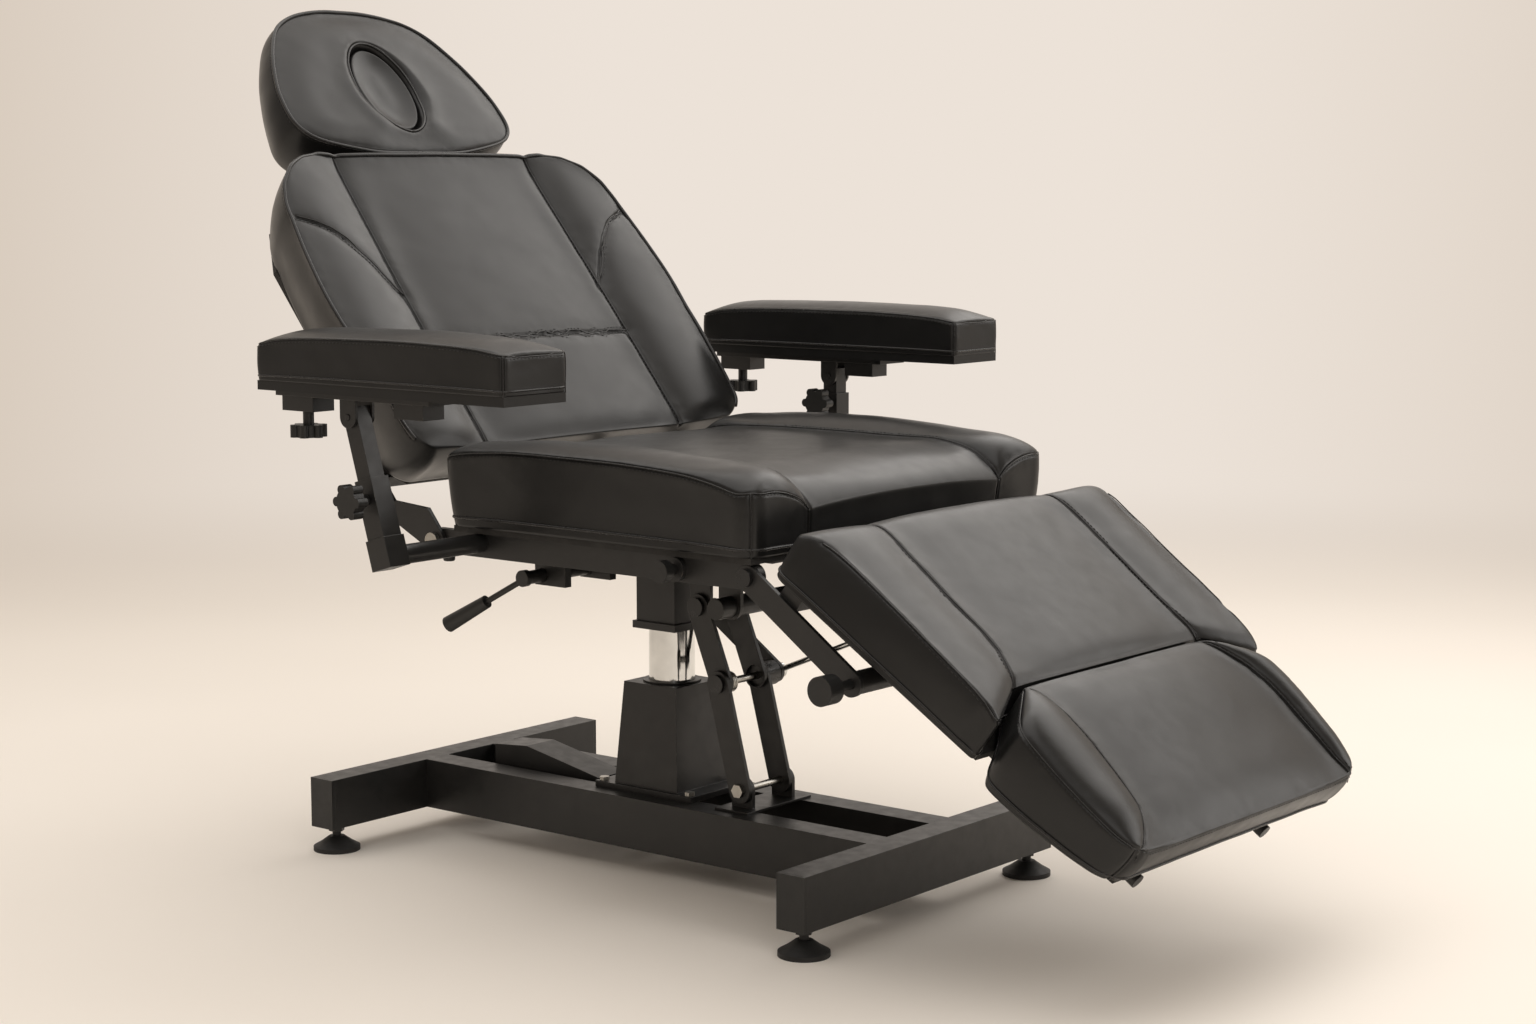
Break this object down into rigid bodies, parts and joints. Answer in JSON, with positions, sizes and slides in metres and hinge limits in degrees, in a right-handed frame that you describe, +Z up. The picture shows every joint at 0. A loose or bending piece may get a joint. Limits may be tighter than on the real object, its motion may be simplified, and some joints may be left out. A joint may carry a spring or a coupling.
{
  "type": "tattoo chair",
  "caption": "Reclining tattoo chair on a pump lift column and steel base, with padded seat, back, headrest, calf and foot rests and swing-back armrests.",
  "frame": {"origin": "centre of the bounding box, on the floor", "axes": "+X towards the foot rest, +Y to the sitter's left, +Z up"},
  "size_m": [1.6024, 1.0262, 1.1779],
  "materials": {
    "leather": "semi-gloss black leather",
    "frame_steel": "satin black powder coat",
    "chrome": "polished",
    "zinc": "zinc plated",
    "plastic": "matte black",
    "rubber": "matte black",
    "board": "plywood stained black"
  },
  "bodies": {
    "base": {"front_crossbar": "frame_steel", "rear_crossbar": "frame_steel", "base_rails": "frame_steel", "crossbar_caps": "plastic", "base_fasteners": "zinc", "column_housing": "frame_steel", "pump_cylinder": "frame_steel", "link_bracket": "frame_steel"},
    "front_right_foot": {"front_right_foot": "rubber"},
    "front_left_foot": {"front_left_foot": "rubber"},
    "rear_right_foot": {"rear_right_foot": "rubber"},
    "rear_left_foot": {"rear_left_foot": "rubber"},
    "pump_pedal": {"pump_pedal": "frame_steel"},
    "lower_link": {"lower_link": "frame_steel", "knee_pin": "zinc"},
    "upper_link": {"upper_link": "frame_steel"},
    "seat_carriage": {"ram": "chrome", "column_sleeve": "frame_steel", "seat_rails": "frame_steel", "seat_crossbars": "frame_steel", "arm_cross_tube": "frame_steel", "linkage_hanger": "frame_steel", "seat_board": "board", "seat_cushion": "leather", "frame_bolts": "zinc", "back_strut_cylinder": "frame_steel"},
    "leg_lock_plunger": {"leg_lock_plunger": "plastic"},
    "recline_lever": {"recline_lever": "frame_steel", "lever_grip": "plastic"},
    "back": {"back_pivot_frame": "frame_steel", "back_frame": "frame_steel", "back_board": "board", "back_cushion": "leather"},
    "back_strut_rod": {"back_strut_rod": "chrome"},
    "headrest": {"headrest_frame": "frame_steel", "headrest_cushion": "leather"},
    "headrest_plug": {"headrest_plug": "leather"},
    "leg_rest": {"leg_frame": "frame_steel", "leg_board": "board", "calf_cushion": "leather"},
    "leg_strut_rod": {"leg_strut_rod": "chrome"},
    "leg_strut_cylinder": {"leg_strut_cylinder": "frame_steel"},
    "foot_rest": {"foot_slides": "chrome", "foot_board": "board", "foot_cushion": "leather"},
    "foot_knob": {"foot_knob": "plastic"},
    "right_arm_sleeve": {"right_arm_sleeve": "frame_steel"},
    "right_arm_post": {"right_arm_post": "frame_steel"},
    "right_arm_pad": {"right_arm_plate": "frame_steel", "right_arm_board": "leather", "right_arm_cushion": "leather"},
    "right_height_knob": {"right_height_knob": "plastic"},
    "right_pad_knob": {"right_pad_knob": "plastic"},
    "left_arm_sleeve": {"left_arm_sleeve": "frame_steel"},
    "left_arm_post": {"left_arm_post": "frame_steel"},
    "left_arm_pad": {"left_arm_plate": "frame_steel", "left_arm_board": "leather", "left_arm_cushion": "leather"},
    "left_height_knob": {"left_height_knob": "plastic"},
    "left_pad_knob": {"left_pad_knob": "plastic"}
  },
  "joints": [
    {"name": "front_right_foot_turn", "type": "hinge", "parent": "base", "child": "front_right_foot", "pos_m": [0.3255, -0.245, 0], "axis": [0, 0, 1], "continuous": true},
    {"name": "front_left_foot_turn", "type": "hinge", "parent": "base", "child": "front_left_foot", "pos_m": [0.3255, 0.245, 0], "axis": [0, 0, 1], "continuous": true},
    {"name": "rear_right_foot_turn", "type": "hinge", "parent": "base", "child": "rear_right_foot", "pos_m": [-0.5065, -0.245, 0], "axis": [0, 0, 1], "continuous": true},
    {"name": "rear_left_foot_turn", "type": "hinge", "parent": "base", "child": "rear_left_foot", "pos_m": [-0.5065, 0.245, 0], "axis": [0, 0, 1], "continuous": true},
    {"name": "pedal_press", "type": "hinge", "parent": "base", "child": "pump_pedal", "pos_m": [-0.207, 0, 0.088], "axis": [0, -1, 0], "range_deg": [0, 12], "stiffness_Nm_per_rad": 14, "springref_deg": -17.19},
    {"name": "seat_lift", "type": "slide", "parent": "base", "child": "seat_carriage", "axis": [0, 0, 1], "range_m": [-0.055, 0]},
    {"name": "lower_link_fold", "type": "hinge", "parent": "base", "child": "lower_link", "pos_m": [0.065, 0, 0.131], "axis": [0, 1, 0], "range_deg": [-0.5, 25.5]},
    {"name": "upper_link_fold", "type": "hinge", "parent": "seat_carriage", "child": "upper_link", "pos_m": [-0.012, 0, 0.369], "axis": [0, 1, 0], "range_deg": [-47, 0.5]},
    {"name": "leg_lock_pull", "type": "slide", "parent": "seat_carriage", "child": "leg_lock_plunger", "axis": [0, -1, 0], "range_m": [0, 0.008], "stiffness_N_per_m": 700, "springref_m": -0.006},
    {"name": "recline_lever_lift", "type": "hinge", "parent": "seat_carriage", "child": "recline_lever", "pos_m": [-0.157, -0.22, 0.415], "axis": [0, 1, 0], "range_deg": [0, 15], "stiffness_Nm_per_rad": 2, "springref_deg": -28.65},
    {"name": "back_recline", "type": "hinge", "parent": "seat_carriage", "child": "back", "pos_m": [-0.244, 0, 0.466], "axis": [0, 1, 0], "range_deg": [-51, 8]},
    {"name": "back_strut_stroke", "type": "slide", "parent": "seat_carriage", "child": "back_strut_rod", "axis": [1, 0, 0], "range_m": [-0.0075, 0.0395]},
    {"name": "headrest_height", "type": "slide", "parent": "back", "child": "headrest", "axis": [-0.6293, 0, 0.7771], "range_m": [0, 0.08]},
    {"name": "headrest_plug_pull", "type": "slide", "parent": "headrest", "child": "headrest_plug", "axis": [0.7771, 0, 0.6293], "range_m": [0, 0.06]},
    {"name": "leg_rest_raise", "type": "hinge", "parent": "seat_carriage", "child": "leg_rest", "pos_m": [0.282, 0, 0.466], "axis": [0, 1, 0], "range_deg": [-36, 8]},
    {"name": "leg_strut_swing", "type": "hinge", "parent": "seat_carriage", "child": "leg_strut_rod", "pos_m": [0.028, 0.08, 0.27], "axis": [0, 1, 0], "range_deg": [-4.2, 1.2]},
    {"name": "leg_strut_stroke", "type": "slide", "parent": "leg_strut_rod", "child": "leg_strut_cylinder", "axis": [0.9233, 0, 0.3841], "range_m": [-0.012, 0.05]},
    {"name": "foot_extension", "type": "slide", "parent": "leg_rest", "child": "foot_rest", "axis": [0.809, 0, -0.5878], "range_m": [0, 0.1]},
    {"name": "foot_knob_turn", "type": "hinge", "parent": "leg_rest", "child": "foot_knob", "pos_m": [0.43689, -0.284, 0.35594], "axis": [0, -1, 0], "continuous": true},
    {"name": "right_arm_swing", "type": "hinge", "parent": "seat_carriage", "child": "right_arm_sleeve", "pos_m": [-0.165, -0.4575, 0.469], "axis": [0, 1, 0], "range_deg": [-25, 17]},
    {"name": "right_arm_height", "type": "slide", "parent": "right_arm_sleeve", "child": "right_arm_post", "axis": [-0.2924, 0, 0.9563], "range_m": [0, 0.05]},
    {"name": "right_pad_tilt", "type": "hinge", "parent": "right_arm_post", "child": "right_arm_pad", "pos_m": [-0.21763, -0.4575, 0.64113], "axis": [0, 1, 0], "range_deg": [-20, 20]},
    {"name": "right_height_knob_turn", "type": "hinge", "parent": "right_arm_sleeve", "child": "right_height_knob", "pos_m": [-0.18664, -0.4695, 0.53977], "axis": [0, -1, 0], "continuous": true},
    {"name": "right_pad_knob_turn", "type": "hinge", "parent": "right_arm_pad", "child": "right_pad_knob", "pos_m": [-0.308, -0.4575, 0.644], "axis": [0, 0, 1], "continuous": true},
    {"name": "left_arm_swing", "type": "hinge", "parent": "seat_carriage", "child": "left_arm_sleeve", "pos_m": [-0.165, 0.4575, 0.469], "axis": [0, 1, 0], "range_deg": [-42, 0]},
    {"name": "left_arm_height", "type": "slide", "parent": "left_arm_sleeve", "child": "left_arm_post", "axis": [0, 0, 1], "range_m": [0, 0.05]},
    {"name": "left_pad_tilt", "type": "hinge", "parent": "left_arm_post", "child": "left_arm_pad", "pos_m": [-0.165, 0.4575, 0.642], "axis": [0, 1, 0], "range_deg": [-20, 20]},
    {"name": "left_height_knob_turn", "type": "hinge", "parent": "left_arm_sleeve", "child": "left_height_knob", "pos_m": [-0.165, 0.4455, 0.603], "axis": [0, -1, 0], "continuous": true},
    {"name": "left_pad_knob_turn", "type": "hinge", "parent": "left_arm_pad", "child": "left_pad_knob", "pos_m": [-0.343, 0.4575, 0.644], "axis": [0, 0, 1], "continuous": true}
  ],
  "couplings": [
    {"joint": "lower_link_fold", "follows": "seat_lift", "rad_per_m": -7.933},
    {"joint": "upper_link_fold", "follows": "seat_lift", "rad_per_m": 14.756},
    {"joint": "back_strut_stroke", "follows": "back_recline", "m_per_rad": -0.0432},
    {"joint": "leg_strut_swing", "follows": "leg_rest_raise", "ratio": 0.105},
    {"joint": "leg_strut_stroke", "follows": "leg_rest_raise", "m_per_rad": -0.0762}
  ]
}
